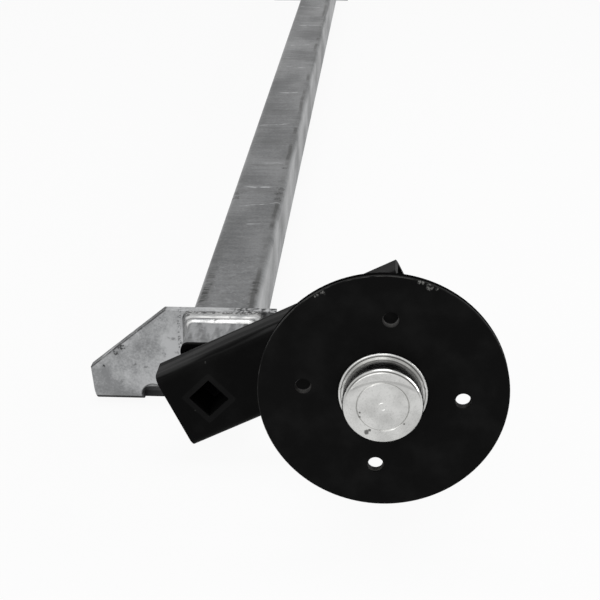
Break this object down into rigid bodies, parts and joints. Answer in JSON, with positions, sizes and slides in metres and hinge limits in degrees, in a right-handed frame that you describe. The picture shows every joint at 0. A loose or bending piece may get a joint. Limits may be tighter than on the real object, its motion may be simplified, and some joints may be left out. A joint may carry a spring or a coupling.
{
  "type": "trailer axle",
  "caption": "Rubber torsion trailer axle: square tube with mounting brackets, trailing swing arms and unbraked wheel hubs.",
  "frame": {"origin": "middle of the four chassis bolt holes, on the plane of the brackets' mounting faces", "axes": "+Y along the axle tube towards the left-hand hub, +Z away from the chassis, +X towards the trailing hubs"},
  "size_m": [0.3071, 2.278, 0.1895],
  "materials": {
    "galvanised_steel": "hot-dip galvanised, dull spangle",
    "black_paint": "satin black paint, chipped at edges",
    "bare_steel": "machined",
    "bearing_steel": "ground",
    "zinc_plate": "bright zinc plate",
    "cord_rubber": "matt",
    "seal_rubber": "matt"
  },
  "bodies": {
    "chassis": {"axle_tube": "galvanised_steel", "bracket_left": "galvanised_steel", "bracket_right": "galvanised_steel", "bracket_weld_left": "galvanised_steel", "bracket_weld_right": "galvanised_steel", "rubber_cord_1_left": "cord_rubber", "rubber_cord_1_right": "cord_rubber", "rubber_cord_2_left": "cord_rubber", "rubber_cord_2_right": "cord_rubber", "rubber_cord_3_left": "cord_rubber", "rubber_cord_3_right": "cord_rubber", "rubber_cord_4_left": "cord_rubber", "rubber_cord_4_right": "cord_rubber"},
    "arm_right": {"bar_weld_right": "black_paint", "castle_nut_right": "zinc_plate", "inner_bearing_cage_right": "bearing_steel", "inner_bearing_cone_right": "bearing_steel", "inner_bearing_rollers_right": "bearing_steel", "outer_bearing_cage_right": "bearing_steel", "outer_bearing_cone_right": "bearing_steel", "outer_bearing_rollers_right": "bearing_steel", "split_pin_right": "zinc_plate", "stub_axle_right": "bare_steel", "stub_weld_right": "black_paint", "swing_arm_right": "black_paint", "thrust_washer_right": "zinc_plate", "torsion_bar_right": "bare_steel"},
    "hub_right": {"grease_cap_right": "zinc_plate", "grease_seal_right": "seal_rubber", "inner_bearing_cup_right": "bearing_steel", "outer_bearing_cup_right": "bearing_steel", "wheel_hub_right": "black_paint"},
    "arm_left": {"bar_weld_left": "black_paint", "castle_nut_left": "zinc_plate", "inner_bearing_cage_left": "bearing_steel", "inner_bearing_cone_left": "bearing_steel", "inner_bearing_rollers_left": "bearing_steel", "outer_bearing_cage_left": "bearing_steel", "outer_bearing_cone_left": "bearing_steel", "outer_bearing_rollers_left": "bearing_steel", "split_pin_left": "zinc_plate", "stub_axle_left": "bare_steel", "stub_weld_left": "black_paint", "swing_arm_left": "black_paint", "thrust_washer_left": "zinc_plate", "torsion_bar_left": "bare_steel"},
    "hub_left": {"grease_cap_left": "zinc_plate", "grease_seal_left": "seal_rubber", "inner_bearing_cup_left": "bearing_steel", "outer_bearing_cup_left": "bearing_steel", "wheel_hub_left": "black_paint"}
  },
  "joints": [
    {"name": "arm_swing_right", "type": "hinge", "parent": "chassis", "child": "arm_right", "pos_m": [0.0308, -1.015, 0.0535], "axis": [0, 1, 0], "range_deg": [-10, 45], "stiffness_Nm_per_rad": 500, "deforming": ["rubber_cord_1_right", "rubber_cord_2_right", "rubber_cord_3_right", "rubber_cord_4_right"]},
    {"name": "hub_spin_right", "type": "hinge", "parent": "arm_right", "child": "hub_right", "pos_m": [0.1541, -1.12, 0.11098], "axis": [0, 1, 0], "continuous": true},
    {"name": "arm_swing_left", "type": "hinge", "parent": "chassis", "child": "arm_left", "pos_m": [0.0308, 1.015, 0.0535], "axis": [0, 1, 0], "range_deg": [-10, 45], "stiffness_Nm_per_rad": 500, "deforming": ["rubber_cord_1_left", "rubber_cord_2_left", "rubber_cord_3_left", "rubber_cord_4_left"]},
    {"name": "hub_spin_left", "type": "hinge", "parent": "arm_left", "child": "hub_left", "pos_m": [0.1541, 1.12, 0.11098], "axis": [0, 1, 0], "continuous": true}
  ]
}
